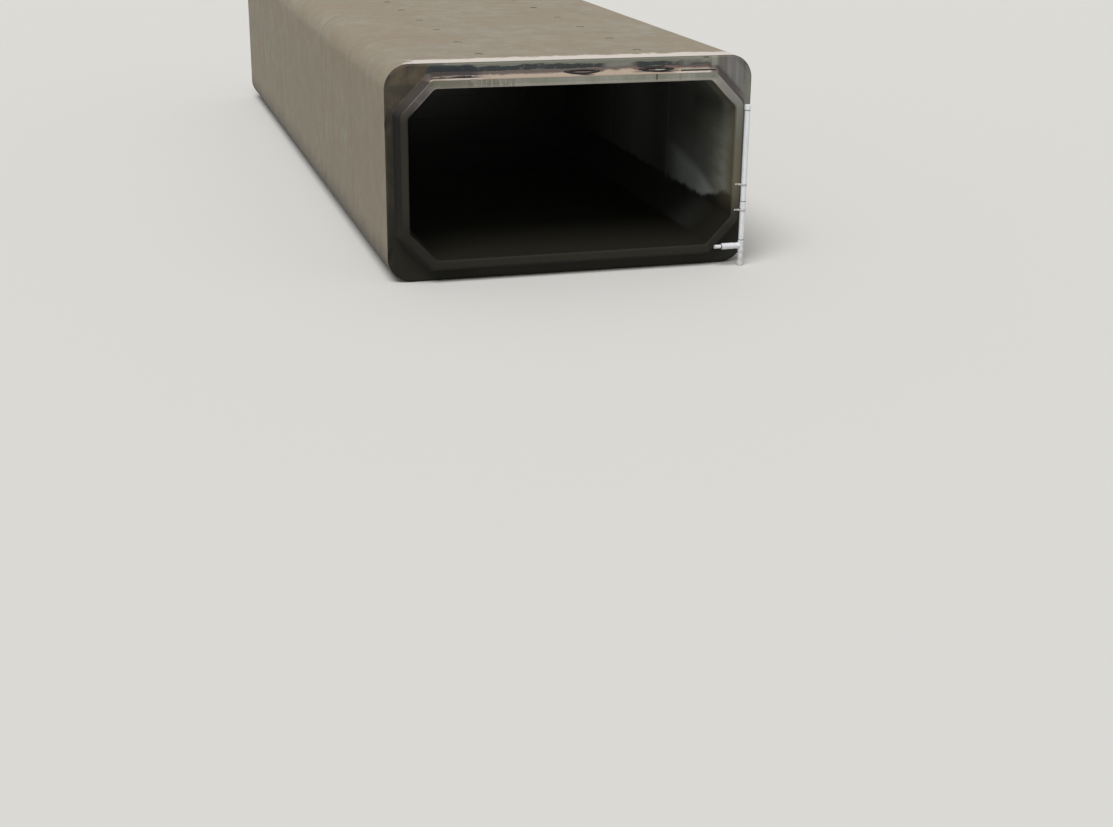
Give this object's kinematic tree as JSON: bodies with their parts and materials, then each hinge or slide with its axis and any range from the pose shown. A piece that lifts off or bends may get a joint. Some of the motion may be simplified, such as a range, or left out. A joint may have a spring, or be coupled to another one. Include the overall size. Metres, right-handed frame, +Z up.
{
  "type": "precast concrete box culvert outlet with gauge pipe",
  "caption": "Outlet end and barrel of a precast concrete box culvert: haunched waterway, tapered tongue rim before a set-back shoulder, and a white capped gauge pipe with a tee beside it.",
  "frame": {"origin": "middle of the whole length and width, on the underside that rests on the bedding", "axes": "+X across the waterway towards the gauge pipe, +Y upstream along the barrel, so the outlet faces -Y, +Z up"},
  "size_m": [4.116, 12.9904, 2.337],
  "materials": {
    "concrete": "weathered cast concrete, matt",
    "mortar": "trowelled mortar, matt",
    "mastic": "aged bituminous mastic, dull",
    "pvc": "white rigid plastic pipe, satin",
    "strap": "white moulded plastic",
    "zinc_steel": "dull zinc-plated steel"
  },
  "bodies": {
    "root": {"outlet_section": "concrete", "barrel_section_2": "concrete", "barrel_section_3": "concrete", "barrel_section_4": "concrete", "barrel_section_5": "concrete", "barrel_section_6": "concrete", "joint_mortar_1": "mortar", "joint_mortar_2": "mortar", "joint_mortar_3": "mortar", "joint_mortar_4": "mortar", "joint_mortar_5": "mortar", "lift_hole_plugs": "mortar", "joint_bead_1": "mastic", "joint_bead_2": "mastic", "joint_bead_3": "mastic", "joint_bead_4": "mastic", "joint_bead_5": "mastic", "ledge_sealant_left": "mastic", "ledge_sealant_right": "mastic", "sealant_loop_middle": "mastic", "sealant_loop_right": "mastic", "riser_cap": "pvc", "riser_upper": "pvc", "riser_coupling": "pvc", "riser_lower": "pvc", "intake_tee": "pvc", "riser_stub": "pvc", "foot_cap": "pvc", "intake_arm": "pvc", "arm_reducer": "pvc", "intake_nipple": "pvc", "strap_upper": "strap", "strap_lower": "strap", "anchor_upper": "zinc_steel", "anchor_lower": "zinc_steel"}
  },
  "joints": []
}
